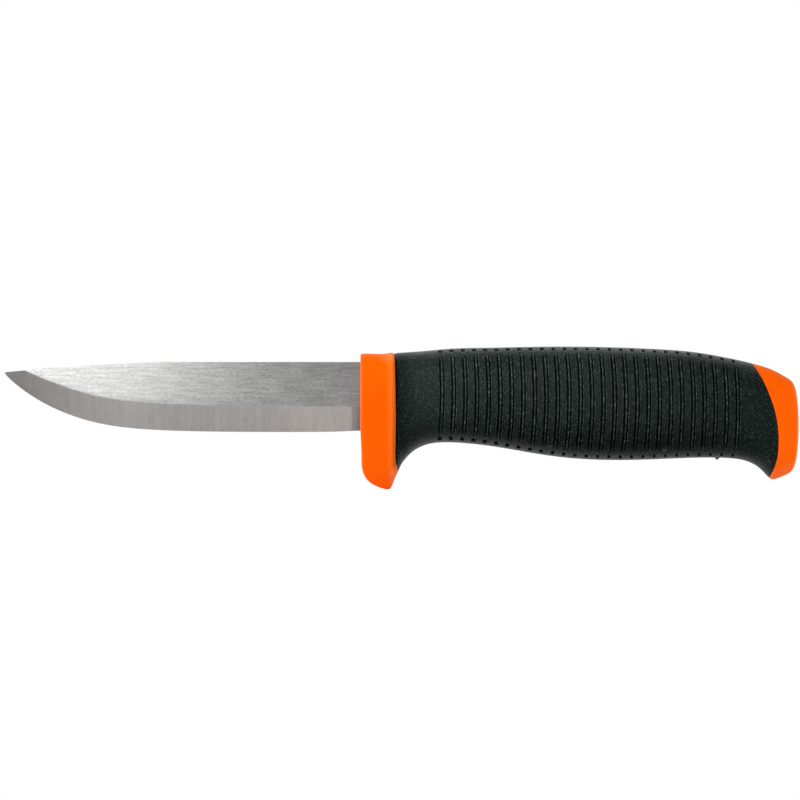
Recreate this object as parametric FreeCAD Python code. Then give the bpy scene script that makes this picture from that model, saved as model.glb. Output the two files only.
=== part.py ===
import FreeCAD, Part
import math
import os

# Fixed-blade knife in five pieces: blade with tang, guard, core, rubber grip, end cap.
# Millimetres. Origin: centre of the blade root on the guard's front face.
# -X runs to the point, +X to the end cap, +Z is the spine side, Y is thickness.

Vector = FreeCAD.Vector
os.makedirs("parts", exist_ok=True)


# ---------------------------------------------------------------- shared tools
class Curve:
    """Natural cubic through (x, value) points, carried on past both ends."""

    def __init__(self, points):
        self.x = [p[0] for p in points]
        self.y = [p[1] for p in points]
        x, y, n = self.x, self.y, len(points)
        gap = [x[i + 1] - x[i] for i in range(n - 1)]
        slope = [(y[i + 1] - y[i]) / gap[i] for i in range(n - 1)]
        # solve the tridiagonal system for the second derivatives, zero at both ends
        pivot, target = [1.0], [0.0]
        for i in range(1, n - 1):
            factor = gap[i - 1] / pivot[i - 1]
            above = gap[i - 1] if i > 1 else 0.0
            pivot.append(2 * (gap[i - 1] + gap[i]) - factor * above)
            target.append(6 * (slope[i] - slope[i - 1]) - factor * target[i - 1])
        self.bend = [0.0] * n
        for i in range(n - 2, 0, -1):
            self.bend[i] = (target[i] - gap[i] * self.bend[i + 1]) / pivot[i]

    def __call__(self, x):
        i = 0
        while i < len(self.x) - 2 and x > self.x[i + 1]:
            i += 1
        gap = self.x[i + 1] - self.x[i]
        ahead, behind = self.x[i + 1] - x, x - self.x[i]
        return (self.bend[i] * ahead ** 3 / (6 * gap)
                + self.bend[i + 1] * behind ** 3 / (6 * gap)
                + (self.y[i] / gap - self.bend[i] * gap / 6) * ahead
                + (self.y[i + 1] / gap - self.bend[i + 1] * gap / 6) * behind)


def spline(points):
    """Smooth edge in the XZ plane through (x, z) points."""
    curve = Part.BSplineCurve()
    curve.interpolate([Vector(x, 0, z) for x, z in points])
    return curve.toShape()


def lines(*points):
    """Straight edges in the XZ plane joining (x, z) points in turn."""
    corners = [Vector(x, 0, z) for x, z in points]
    return [Part.LineSegment(a, b).toShape() for a, b in zip(corners, corners[1:])]


def prism(edges, half_width):
    """Closed XZ outline extruded to half_width on both sides of y = 0."""
    face = Part.Face(Part.Wire(edges))
    face.translate(Vector(0, -half_width, 0))
    return face.extrude(Vector(0, 2 * half_width, 0))


def section(x, half_width, z_mid, upper, lower, count):
    """Closed superellipse section at x; upper and lower are (height, exponent)."""
    def signed_power(value, exponent):
        return math.copysign(abs(value) ** (2.0 / exponent), value)

    points = []
    for i in range(count):
        angle = 2 * math.pi * i / count
        across, up = math.cos(angle), math.sin(angle)
        height, exponent = upper if up >= 0 else lower
        points.append(Vector(x, half_width * signed_power(across, exponent),
                             z_mid + height * signed_power(up, exponent)))
    curve = Part.BSplineCurve()
    # every section shares one set of parameters, which keeps the lofted skin light
    curve.interpolate(Points=points, PeriodicFlag=True,
                      Parameters=[i / float(count) for i in range(count + 1)])
    return Part.Wire([curve.toShape()])


def loft(wires):
    return Part.makeLoft(wires, True, False)


def single(shape):
    """Take the solid out of its compound when there is only one."""
    return shape.Solids[0] if len(shape.Solids) == 1 else shape


# ---------------------------------------------------------------- blade and tang
BLADE_T = 3.0            # strip thickness
EDGE_T = 0.10            # flat left on the cutting edge
SHOULDER_X = 5.0         # full-height blade runs this far into the guard
TANG_H0 = 12.0           # tang height at the shoulder
TANG_H1 = 8.5            # tang height at its end
TANG_X1 = 78.0           # end of the tang
TANG_Z = 1.0             # tang centre line
HOLE_D = 5.0             # lock holes through the tang
HOLE_X = (24.0, 62.0)

# side outlines, (x, z)
SPINE = [
    (-93.3, 6.36), (-91.28, 6.63), (-89.71, 6.83), (-88.03, 7.05), (-83.94, 7.46),
    (-77.66, 7.88), (-72.94, 8.17), (-68.22, 8.45), (-63.51, 8.68), (-60.36, 8.81),
    (-57.22, 8.95), (-53.81, 9.08), (-50.5, 9.17)]
# the last point only guides the curve past the shoulder
EDGE = [
    (-93.3, 6.24), (-92.59, 5.34), (-91.28, 4.14), (-89.71, 2.91), (-88.14, 1.70),
    (-86.56, 0.62), (-83.42, -1.30), (-80.28, -2.92), (-77.13, -4.25), (-73.99, -5.38),
    (-70.84, -6.31), (-67.70, -7.03), (-64.56, -7.59), (-61.41, -8.00), (-58.27, -8.30),
    (-55.12, -8.53), (-50.0, -8.78), (-44.12, -8.96), (-37.83, -9.07), (-31.54, -9.13),
    (-23.68, -9.17), (-15.82, -9.17), (-11.11, -9.15), (-7.96, -9.10), (-4.82, -9.01),
    (-1.68, -8.88), (0.0, -8.80), (6.0, -8.50)]
# upper limit of the ground flats
BEVEL = [
    (-96.0, 9.90), (-93.3, 9.05), (-91.0, 8.20), (-88.03, 7.00), (-84.99, 5.62),
    (-81.85, 4.32), (-78.70, 3.13), (-75.56, 2.04), (-72.42, 1.07), (-69.27, 0.24),
    (-66.13, -0.36), (-62.98, -0.80), (-58.27, -1.27), (-53.55, -1.62), (-48.84, -1.87),
    (-44.12, -2.08), (-37.83, -2.28), (-31.54, -2.40), (-23.68, -2.48), (-15.82, -2.53),
    (-7.96, -2.55), (0.0, -2.56), (8.0, -2.56)]
TIP_X = EDGE[0][0]       # point of the blade

# bevel cutter: x stations, and how far it runs past the ground flat
BEVEL_STATIONS = [
    -95.0, TIP_X, -91.5, -89.5, -87.0, -84.0, -81.0, -78.0, -75.0, -72.0, -69.0,
    -66.0, -63.0, -59.0, -54.0, -48.0, -40.0, -30.0, -18.0, -6.0, SHOULDER_X + 0.5]
BEVEL_UNDER = 0.25       # past the edge, as a share of the flat
BEVEL_OVER = 1.6         # up to here from the edge, as a share of the flat
BEVEL_FAR_Y = BLADE_T * 1.6
BEVEL_BELOW = 4.0        # extra depth under the edge
TIP_RISE = 1.2           # slope of the edge line ahead of the point

edge_of = Curve(EDGE)
bevel_of = Curve(BEVEL)


def blade_blank():
    edge_points = EDGE[:-1] + [(SHOULDER_X, edge_of(SHOULDER_X))]
    spine_z = SPINE[-1][1]
    outline = [
        spline(SPINE),
        *lines(SPINE[-1],
               (SHOULDER_X, spine_z),
               (SHOULDER_X, TANG_Z + TANG_H0 / 2),
               (TANG_X1, TANG_Z + TANG_H1 / 2),
               (TANG_X1, TANG_Z - TANG_H1 / 2),
               (SHOULDER_X, TANG_Z - TANG_H0 / 2),
               edge_points[-1]),
        spline(edge_points),
        *lines(edge_points[0], SPINE[0])]
    return prism(outline, BLADE_T / 2)


def bevel_cutter(side):
    """Everything outside the ground flat on one side of the blade (side is 1 or -1)."""
    wires = []
    for x in BEVEL_STATIONS:
        edge_z = edge_of(max(x, TIP_X)) + TIP_RISE * max(TIP_X - x, 0.0)
        flat_y, flat_z = (BLADE_T - EDGE_T) / 2, bevel_of(x) - edge_z
        low_y = side * (EDGE_T / 2 - BEVEL_UNDER * flat_y)
        low_z = edge_z - BEVEL_UNDER * flat_z
        high_y = side * (EDGE_T / 2 + BEVEL_OVER * flat_y)
        high_z = edge_z + BEVEL_OVER * flat_z
        far_y, base_z = side * BEVEL_FAR_Y, low_z - BEVEL_BELOW
        corners = [Vector(x, low_y, low_z), Vector(x, high_y, high_z),
                   Vector(x, far_y, high_z), Vector(x, far_y, base_z),
                   Vector(x, low_y, base_z)]
        wires.append(Part.makePolygon(corners + corners[:1]))
    return loft(wires)


def ground_blade():
    """Blade and tang with both bevels and the lock holes."""
    shape = blade_blank().cut(bevel_cutter(1)).cut(bevel_cutter(-1))
    for x in HOLE_X:
        shape = shape.cut(Part.makeCylinder(HOLE_D / 2, 10, Vector(x, -5, TANG_Z),
                                            Vector(0, 1, 0)))
    return shape


def split_at_guard(shape):
    """One solid still, with its faces split at the guard's front face."""
    front_box = Part.makeBox(110, 20, 60, Vector(-110, -10, -30))
    return single(shape.common(front_box).fuse(shape.cut(front_box)))


# ---------------------------------------------------------------- tenons
TENON_W = 12.0           # front tenon of the core
TENON_H = 18.0
TENON_Z = -3.2
CORE_X1 = 99.0           # rear of the core's wide part
REAR_TENON_W = 9.0
REAR_TENON_H = 12.0
REAR_TENON_Z = -7.0
REAR_TENON_X1 = 111.0
TENON_R = 2.5            # rounding of the long edges


def tenon(x0, x1, width, height, z_mid):
    """Box along X, rounded along its four long edges."""
    box = Part.makeBox(x1 - x0, width, height, Vector(x0, -width / 2, z_mid - height / 2))
    long_edges = [e for e in box.Edges
                  if abs(e.Vertexes[0].X - e.Vertexes[1].X) > 0.5 * (x1 - x0)]
    return box.makeFillet(TENON_R, long_edges)


def front_tenon(x1):
    return tenon(SHOULDER_X, x1, TENON_W, TENON_H, TENON_Z)


# ---------------------------------------------------------------- guard
GUARD_HALF_W = 11.8
GUARD_TOP = 11.5
GUARD_MID = -3.0         # height of the widest line
GUARD_N_UPPER = 2.6      # section exponents (2 = ellipse): fuller above the middle,
GUARD_N_LOWER = 2.2      # a rounder toe below
# sections from the front face back: (x, rim rounding, lowest point)
GUARD_FORM = [
    (0.0, 0.70, -16.5), (0.08, 0.375, -17.2), (0.22, 0.19, -17.9), (0.45, 0.046, -18.9),
    (0.75, 0.0, -19.9), (1.10, 0.0, -20.68), (1.50, 0.0, -21.34), (2.42, 0.0, -22.32),
    (3.86, 0.0, -23.22), (5.00, 0.0, -23.70), (6.10, 0.0, -24.03), (7.00, 0.0, -24.14),
    (7.60, 0.0, -24.02), (8.00, 0.0, -23.62), (8.30, 0.0, -23.05), (8.55, 0.0, -22.40),
    (8.80, 0.046, -21.68), (9.03, 0.19, -20.95), (9.17, 0.375, -20.30), (9.25, 0.70, -19.60)]
GUARD_X1 = GUARD_FORM[-1][0]   # rear face


def make_guard(blade_shape):
    body = loft([
        section(x, GUARD_HALF_W - rim, GUARD_MID,
                upper=(GUARD_TOP - rim - GUARD_MID, GUARD_N_UPPER),
                lower=(GUARD_MID - bottom, GUARD_N_LOWER), count=32)
        for x, rim, bottom in GUARD_FORM])
    return single(body.cut(blade_shape).cut(front_tenon(GUARD_X1 + 1.0)))


# ---------------------------------------------------------------- handle outer form
HANDLE_N = 2.6           # section exponent (2 = ellipse)
# (x, z)
HANDLE_TOP = [
    (6.0, 11.15), (9.2, 11.42), (16.0, 11.894), (24.0, 12.586), (32.0, 12.788),
    (42.0, 13.00), (54.0, 13.118), (66.0, 12.933), (78.0, 12.442), (88.0, 11.599),
    (96.0, 10.199), (104.0, 8.36), (108.0, 7.00), (111.2, 5.30), (114.0, 3.60),
    (117.0, 1.60)]
HANDLE_BOTTOM = [
    (6.0, -24.0), (9.2, -20.35), (10.0, -19.10), (10.5, -17.98), (11.5, -16.45),
    (12.5, -15.30), (15.0, -13.36), (18.0, -12.20), (22.0, -11.778), (28.0, -12.051),
    (36.0, -13.028), (46.0, -14.742), (56.0, -15.986), (66.0, -16.418), (78.0, -16.176),
    (88.0, -15.80), (94.0, -15.80), (99.0, -16.178), (103.0, -17.47), (105.4, -19.32),
    (107.2, -21.15), (109.0, -21.75), (112.0, -21.75), (117.0, -21.7)]
# (x, half width)
HANDLE_HALF_W = [
    (6.0, 10.0), (9.2, 10.0), (16.0, 9.9), (24.0, 10.0), (32.0, 10.3), (42.0, 10.9),
    (54.0, 11.4), (66.0, 11.6), (78.0, 11.5), (88.0, 11.2), (96.0, 11.1), (104.0, 11.3),
    (111.0, 11.3), (117.0, 11.0)]
HANDLE_STATIONS = [
    7.5, 9.2, 10.8, 12.5, 14.5, 17.0, 20.0, 24.0, 30.0, 38.0, 48.0, 60.0, 72.0,
    84.0, 92.0, 97.0, 100.5, 103.0, 105.0, 106.5, 108.0, 110.0, 113.0, 116.5]
# joint between the rubber grip and the end cap, (x, z) from the bottom up
SEAM = [
    (98.0, -30.0), (104.2, -25.0), (107.0, -21.2), (108.79, -17.0), (109.36, -12.0),
    (108.94, -6.0), (107.24, 0.0), (105.02, 5.0), (102.59, 8.8), (99.2, 13.0), (95.5, 17.0)]
ZONE_X1 = 125.0          # clear of the handle's rear
ZONE_HALF_W = 30.0       # clear of the handle's sides

top_of = Curve(HANDLE_TOP)
bottom_of = Curve(HANDLE_BOTTOM)
half_width_of = Curve(HANDLE_HALF_W)


def handle_body(stations, inset_w=0.0, inset_h=0.0):
    """Handle form, drawn in at the sides by inset_w and at top and bottom by inset_h."""
    wires = []
    for x in stations:
        top, bottom = top_of(x) - inset_h, bottom_of(x) + inset_h
        half = (0.5 * (top - bottom), HANDLE_N)
        wires.append(section(x, half_width_of(x) - inset_w, 0.5 * (top + bottom),
                             upper=half, lower=half, count=24))
    return loft(wires)


def make_cap_zone():
    """All the space behind the seam."""
    return prism([spline(SEAM),
                  *lines(SEAM[-1], (ZONE_X1, SEAM[-1][1]), (ZONE_X1, SEAM[0][1]), SEAM[0])],
                 ZONE_HALF_W)


# ---------------------------------------------------------------- core
GRIP_WALL = 2.8          # rubber over the hard core
CORE_STATIONS = [GUARD_X1 + 1.6, 12.5, 15.0, 18.0, 22.0, 30.0, 40.0, 52.0, 66.0, 80.0,
                 90.0, CORE_X1]


def core_body(rear_tenon):
    """Core with both tenons, before the tang is cut out of it."""
    wide = handle_body(CORE_STATIONS, GRIP_WALL, GRIP_WALL)
    return wide.fuse(front_tenon(GUARD_X1 + 6.0)).fuse(rear_tenon)


# ---------------------------------------------------------------- rubber grip
SLOT_COUNT = 27
SLOT_W = 1.2
SLOT_DEPTH = 0.5
SLOT_FLOOR_RISE = 0.3    # slot floor form stands proud of the grip's top and bottom
SLOT_X0 = 21.42          # centre of the first slot at z = 0
SLOT_PITCH = 3.059       # spacing at the front
SLOT_CROWD = 0.003294    # spacing closes up by twice this per slot
SLOT_BOW = 0.0042        # bow of every slot, per mm
SLOT_LEAN0 = 0.010       # lean of the first slot
SLOT_LEAN_STEP = -0.0012
SLOT_TOP_GAP = 2.4       # plain band above the slots
SLOT_BOTTOM_GAP = 3.0    # plain band below the slots
SLOT_STEPS = 6           # spans along each slot side


def slot_slab(k):
    """Bowed slab right through the handle at slot k, counted from the front."""
    x_mid = SLOT_X0 + SLOT_PITCH * k - SLOT_CROWD * k * k
    lean = SLOT_LEAN0 + SLOT_LEAN_STEP * k
    z_high = top_of(x_mid) - SLOT_TOP_GAP
    z_low = bottom_of(x_mid) + SLOT_BOTTOM_GAP
    front, rear = [], []
    for i in range(SLOT_STEPS + 1):
        z = z_low + (z_high - z_low) * i / SLOT_STEPS
        x = x_mid - (SLOT_BOW * z * z - lean * z)
        front.append((x - SLOT_W / 2, z))
        rear.append((x + SLOT_W / 2, z))
    return prism([spline(front), *lines(front[-1], rear[-1]),
                  spline(rear), *lines(rear[0], front[0])], 20)


def make_grip(outer, cap_zone, core_full):
    rear_of_guard = Part.makeBox(130, 60, 80, Vector(GUARD_X1, -30, -40))
    sleeve = outer.common(rear_of_guard).cut(cap_zone)
    slot_floor = handle_body(HANDLE_STATIONS, SLOT_DEPTH, -SLOT_FLOOR_RISE)
    slots = [slot_slab(k).cut(slot_floor) for k in range(SLOT_COUNT)]
    return single(sleeve.cut(slots).cut(core_full))


# ---------------------------------------------------------------- end cap
CAP_EDGE_R = 1.6         # rounding of the rear rim
# rear outline, (x, z) from the top corner round to the bottom corner
CAP_REAR = [
    (111.86, 5.75), (112.62, 4.85), (113.45, 3.55), (113.93, 2.38), (114.37, 0.26),
    (114.68, -2.88), (114.82, -6.03), (114.82, -8.12), (114.74, -11.27),
    (114.48, -14.41), (114.18, -16.51), (113.60, -18.45), (112.82, -19.65),
    (111.70, -20.52), (110.14, -21.20), (108.75, -21.66), (107.6, -21.70)]
CAP_KEEP_X0 = 90.0       # the kept region reaches past the cap's front and top
CAP_KEEP_TOP = 14.0


def round_rim(cap):
    rim = [e for e in cap.Edges if e.BoundBox.XMax > 112.0 and e.Length > 6]
    # the fillet may fail on the lofted skin; the rim then stays sharp
    try:
        rounded = cap.makeFillet(CAP_EDGE_R, rim)
        if rounded.isValid() and len(rounded.Solids) == 1:
            return rounded
    except Exception:
        pass
    return cap


def make_cap(outer, cap_zone, rear_tenon):
    raw = outer.common(cap_zone)
    first, last = CAP_REAR[0], CAP_REAR[-1]
    keep = prism([spline(CAP_REAR),
                  *lines(last, (CAP_KEEP_X0, last[1] - 6), (CAP_KEEP_X0, CAP_KEEP_TOP),
                         (first[0] - 4.0, CAP_KEEP_TOP), first)],
                 ZONE_HALF_W)
    return single(round_rim(raw.common(keep)).cut(rear_tenon))


# ---------------------------------------------------------------- build and export
blade_shape = ground_blade()
rear_tenon = tenon(CORE_X1 - 3.0, REAR_TENON_X1, REAR_TENON_W, REAR_TENON_H, REAR_TENON_Z)
core_full = core_body(rear_tenon)
outer = handle_body(HANDLE_STATIONS)
cap_zone = make_cap_zone()

pieces = {
    "blade": split_at_guard(blade_shape),
    "guard": make_guard(blade_shape),
    "tang_core": single(core_full.cut(blade_shape)),
    "grip_sleeve": make_grip(outer, cap_zone, core_full),
    "pommel_cap": make_cap(outer, cap_zone, rear_tenon),
}
for name, shape in pieces.items():
    shape.exportStep("parts/" + name + ".step")
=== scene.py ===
"""A utility knife: steel blade, orange guard, slotted rubber grip and orange end cap.

The knife lies along X with the blade tip at -X and the end cap at +X. The spine is up (+Z),
the cutting edge down, and Y runs across the thickness. The camera looks along +Y, so "before"
the knife means -Y. Shapes are worked out in mm and turned into metres when a mesh is made.
"""
import math

import bmesh
import bpy
import numpy as np
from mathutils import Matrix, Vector


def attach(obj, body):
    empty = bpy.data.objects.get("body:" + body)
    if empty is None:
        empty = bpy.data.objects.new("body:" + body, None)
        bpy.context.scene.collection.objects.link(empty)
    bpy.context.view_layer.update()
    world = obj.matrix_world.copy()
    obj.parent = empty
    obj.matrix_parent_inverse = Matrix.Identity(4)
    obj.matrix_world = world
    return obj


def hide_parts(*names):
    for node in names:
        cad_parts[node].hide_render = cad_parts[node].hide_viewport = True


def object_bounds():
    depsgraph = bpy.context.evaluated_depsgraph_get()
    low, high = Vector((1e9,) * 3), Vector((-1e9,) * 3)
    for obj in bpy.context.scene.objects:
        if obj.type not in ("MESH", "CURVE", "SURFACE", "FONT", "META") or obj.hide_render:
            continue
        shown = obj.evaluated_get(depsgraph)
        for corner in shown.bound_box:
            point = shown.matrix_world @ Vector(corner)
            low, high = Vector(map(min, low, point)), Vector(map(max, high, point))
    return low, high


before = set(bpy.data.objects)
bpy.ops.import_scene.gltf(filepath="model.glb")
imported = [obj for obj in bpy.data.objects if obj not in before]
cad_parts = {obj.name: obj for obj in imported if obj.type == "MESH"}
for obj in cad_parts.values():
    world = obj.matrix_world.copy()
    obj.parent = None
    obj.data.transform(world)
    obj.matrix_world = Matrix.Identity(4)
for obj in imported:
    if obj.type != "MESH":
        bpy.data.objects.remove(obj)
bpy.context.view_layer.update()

MM = 0.001

# ------------------------------------------------------------------ outlines, mm
# blade, (x, z): the spine, the cutting edge, and the line where the bevel meets the flat
SPINE = [(-93.3, 6.50), (-91.28, 6.66), (-89.71, 6.80), (-88.03, 6.98), (-83.94, 7.43),
         (-77.66, 7.88), (-72.94, 8.17), (-68.22, 8.45), (-63.51, 8.68), (-60.36, 8.81),
         (-57.22, 8.95), (-53.81, 9.08), (-50.5, 9.17), (-40.0, 9.17), (-20.0, 9.17), (6.0, 9.17)]
EDGE = [(-93.3, 6.38), (-92.59, 5.50), (-91.28, 4.20), (-89.71, 2.91), (-88.14, 1.70),
        (-86.56, 0.62), (-83.42, -1.30), (-80.28, -2.92), (-77.13, -4.25), (-73.99, -5.38),
        (-70.84, -6.31), (-67.70, -7.03), (-64.56, -7.59), (-61.41, -8.00), (-58.27, -8.30),
        (-55.12, -8.53), (-50.0, -8.78), (-44.12, -8.96), (-37.83, -9.07), (-31.54, -9.13),
        (-23.68, -9.17), (-15.82, -9.17), (-11.11, -9.15), (-7.96, -9.10), (-4.82, -9.01),
        (-1.68, -8.88), (0.0, -8.80), (6.0, -8.50)]
BEVEL = [(-96.0, 9.90), (-93.3, 9.05), (-91.0, 8.20), (-88.03, 7.00), (-84.99, 5.62),
         (-81.85, 4.32), (-78.70, 3.13), (-75.56, 2.04), (-72.42, 1.07), (-69.27, 0.24),
         (-66.13, -0.36), (-62.98, -0.80), (-58.27, -1.27), (-53.55, -1.62), (-48.84, -1.87),
         (-44.12, -2.08), (-37.83, -2.28), (-31.54, -2.40), (-23.68, -2.48), (-15.82, -2.53),
         (-7.96, -2.55), (0.0, -2.56), (8.0, -2.56)]
# handle, (x, z) for top and bottom, (x, half width) across Y
GRIP_TOP = [(6.0, 11.15), (9.2, 11.42), (16.0, 11.894), (24.0, 12.586), (32.0, 12.788),
            (42.0, 13.00), (54.0, 13.118), (66.0, 12.933), (78.0, 12.442), (88.0, 11.599),
            (96.0, 10.199), (104.0, 8.36), (108.0, 7.00), (111.2, 5.30), (114.0, 3.60),
            (117.0, 1.60)]
GRIP_BOTTOM = [(6.0, -24.0), (9.2, -20.35), (10.0, -19.10), (10.5, -17.98), (11.5, -16.45),
               (12.5, -15.30), (15.0, -13.36), (18.0, -12.20), (22.0, -11.778),
               (28.0, -12.051), (36.0, -13.028), (46.0, -14.742), (56.0, -15.986),
               (66.0, -16.418), (78.0, -16.176), (88.0, -15.80), (94.0, -15.80),
               (99.0, -16.178), (103.0, -17.47), (105.4, -19.32), (107.2, -21.15),
               (109.0, -21.75), (112.0, -21.75), (117.0, -21.7)]
GRIP_HALF_W = [(6.0, 10.1), (9.2, 10.0), (16.0, 9.9), (24.0, 10.0), (32.0, 10.3),
               (42.0, 10.9), (54.0, 11.4), (66.0, 11.6), (78.0, 11.5), (88.0, 11.2),
               (96.0, 11.1), (104.0, 11.3), (111.0, 11.3), (117.0, 11.0)]
# seam between grip and end cap, (z, x)
SEAM = [(-30.0, 98.0), (-25.0, 104.2), (-21.2, 107.0), (-17.0, 108.79), (-12.0, 109.36),
        (-6.0, 108.94), (0.0, 107.24), (5.0, 105.02), (8.8, 102.59), (13.0, 99.2), (17.0, 95.5)]
# rear outline of the end cap from the top down, (x, z)
CAP_REAR = [(110.66, 8.5), (111.84, 6.75), (112.54, 5.6), (113.13, 4.5), (113.59, 3.45),
            (113.93, 2.38), (114.19, 1.31), (114.37, 0.26), (114.68, -2.88), (114.82, -6.03),
            (114.82, -8.12), (114.74, -11.27), (114.48, -14.41), (114.18, -16.51),
            (113.60, -18.45), (112.82, -19.62), (111.70, -20.30), (110.14, -20.98),
            (108.75, -21.58), (107.5, -22.3)]
# where the end cap's side rings stop before its rear face, (z, x)
CAP_RIM = [(-26.0, 106.4), (-21.9, 107.6), (-20.6, 111.3), (-18.5, 113.4), (-14.4, 114.36),
           (-8.0, 114.72), (-3.0, 114.57), (0.3, 114.28), (2.4, 113.84), (3.5, 113.3),
           (4.6, 112.5), (6.0, 111.2), (9.0, 108.9)]
# guard seen from the side, (x, z): down the blade face, round the toe, up the grip face
GUARD_SIDE = [(0.0, 14.0), (0.0, 9.17), (0.0, 4.0), (0.0, -2.0), (0.01, -8.65),
              (0.09, -10.74), (0.19, -12.4), (0.26, -14.4), (0.29, -16.8), (0.38, -18.2),
              (0.56, -19.3), (0.92, -20.3), (1.50, -21.34), (2.42, -22.32), (3.86, -23.22),
              (5.0, -23.70), (6.10, -24.05), (7.16, -24.18), (7.82, -23.98), (8.22, -23.40),
              (8.54, -22.60), (8.92, -21.55), (9.22, -20.85), (9.50, -20.25), (9.78, -19.70),
              (9.90, -19.2), (9.52, -18.5), (9.24, -17.2), (9.16, -15.0), (9.24, -10.0),
              (9.28, -4.0), (9.22, 1.0), (9.12, 6.0), (9.02, 10.0), (8.96, 14.0)]
# lift of the guard's top along its depth, (x, lift)
GUARD_CREST = [(-1.0, -0.02), (1.0, -0.04), (2.6, -0.03), (4.2, -0.11), (5.8, -0.10),
               (7.4, 0.13), (8.6, 0.27), (10.0, 0.33)]
GUARD_HALF_W = 11.8
GUARD_TOP, GUARD_MID, GUARD_BOTTOM = 11.42, -3.0, -25.6

HANDLE_POWER = 2.6       # superellipse power of the handle's section
SKIN = 0.10              # the handle stands this far outside its tables, above and below


# ------------------------------------------------------------------ numeric tools
class Curve:
    """Natural cubic through (x, y) points, for numpy arrays."""

    def __init__(self, points):
        self.x = np.array([p[0] for p in points], float)
        self.y = np.array([p[1] for p in points], float)
        count, gap = len(points), np.diff(self.x)
        system = np.eye(count)
        load = np.zeros(count)
        for i in range(1, count - 1):
            system[i, i - 1:i + 2] = gap[i - 1], 2 * (gap[i - 1] + gap[i]), gap[i]
            load[i] = 6 * ((self.y[i + 1] - self.y[i]) / gap[i]
                           - (self.y[i] - self.y[i - 1]) / gap[i - 1])
        self.bend = np.linalg.solve(system, load)

    def __call__(self, x):
        x = np.asarray(x, float)
        i = np.clip(np.searchsorted(self.x, x) - 1, 0, len(self.x) - 2)
        gap = self.x[i + 1] - self.x[i]
        ahead, behind = self.x[i + 1] - x, x - self.x[i]
        return (self.bend[i] * ahead ** 3 / (6 * gap) + self.bend[i + 1] * behind ** 3 / (6 * gap)
                + (self.y[i] / gap - self.bend[i] * gap / 6) * ahead
                + (self.y[i + 1] / gap - self.bend[i + 1] * gap / 6) * behind)


top_of, bottom_of, half_w_of = Curve(GRIP_TOP), Curve(GRIP_BOTTOM), Curve(GRIP_HALF_W)
spine_of, edge_of, bevel_of = Curve(SPINE), Curve(EDGE), Curve(BEVEL)
seam_of, rim_of, crest_of = Curve(SEAM), Curve(CAP_RIM), Curve(GUARD_CREST)


def smooth(start, end, x):
    """Smoothstep from 0 at start to 1 at end; start may be the larger."""
    t = np.clip((np.asarray(x, float) - start) / (end - start), 0, 1)
    return t * t * (3 - 2 * t)


def smooth_max(a, b, width):
    h = np.clip(0.5 + 0.5 * (a - b) / width, 0, 1)
    return b * (1 - h) + a * h + width * h * (1 - h)


def signed_power(value, power):
    return np.sign(value) * np.abs(value) ** power


def chain(points, step):
    """Centripetal Catmull-Rom curve through points, resampled about every step mm."""
    def between(a, b, ta, tb):
        return (tb - t) / (tb - ta) * a + (t - ta) / (tb - ta) * b

    p = np.array(points, float)
    p = np.vstack([2 * p[0] - p[1], p, 2 * p[-1] - p[-2]])
    out = []
    for i in range(1, len(p) - 2):
        p0, p1, p2, p3 = p[i - 1:i + 3]
        t0 = 0.0
        t1 = t0 + np.linalg.norm(p1 - p0) ** 0.5
        t2 = t1 + np.linalg.norm(p2 - p1) ** 0.5
        t3 = t2 + np.linalg.norm(p3 - p2) ** 0.5
        count = max(1, int(np.ceil(np.linalg.norm(p2 - p1) / step)))
        for t in np.linspace(t1, t2, count, endpoint=False):
            a1 = between(p0, p1, t0, t1)
            a2 = between(p1, p2, t1, t2)
            a3 = between(p2, p3, t2, t3)
            out.append(between(between(a1, a2, t0, t2), between(a2, a3, t1, t3), t1, t2))
    out.append(p[-2])
    return np.array(out)


class Field:
    """Signed distance to a closed polygon in a plane, read from a fine grid. Negative inside."""

    def __init__(self, polygon, low, high, step=0.08):
        self.low, self.step = low, step
        nu, nv = [int(np.ceil((high[i] - low[i]) / step)) + 1 for i in (0, 1)]
        u = low[0] + step * np.arange(nu)
        v = low[1] + step * np.arange(nv)
        points = np.stack(np.meshgrid(u, v, indexing="ij"), -1).reshape(-1, 2)
        polygon = np.array(polygon, float)
        nearest = np.full(len(points), 1e9)
        inside = np.zeros(len(points), bool)
        for p, q in zip(polygon, np.roll(polygon, -1, 0)):
            side = q - p
            length2 = float(side @ side)
            if length2 < 1e-12:
                continue
            offset = points - p
            t = np.clip((offset @ side) / length2, 0, 1)
            gap = offset - t[:, None] * side
            nearest = np.minimum(nearest, (gap * gap).sum(1))
            crosses = (p[1] > points[:, 1]) != (q[1] > points[:, 1])
            if abs(side[1]) > 1e-12:
                cross_u = side[0] * (points[:, 1] - p[1]) / side[1] + p[0]
                inside ^= crosses & (points[:, 0] < cross_u)
        distance = np.sqrt(nearest)
        distance[inside] *= -1
        self.grid = distance.reshape(nu, nv)

    def __call__(self, u, v):
        grid = self.grid
        fu = np.clip((u - self.low[0]) / self.step, 0, grid.shape[0] - 1.001)
        fv = np.clip((v - self.low[1]) / self.step, 0, grid.shape[1] - 1.001)
        i, j = fu.astype(int), fv.astype(int)
        a, b = fu - i, fv - j
        return (grid[i, j] * (1 - a) * (1 - b) + grid[i + 1, j] * a * (1 - b)
                + grid[i, j + 1] * (1 - a) * b + grid[i + 1, j + 1] * a * b)


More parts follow.
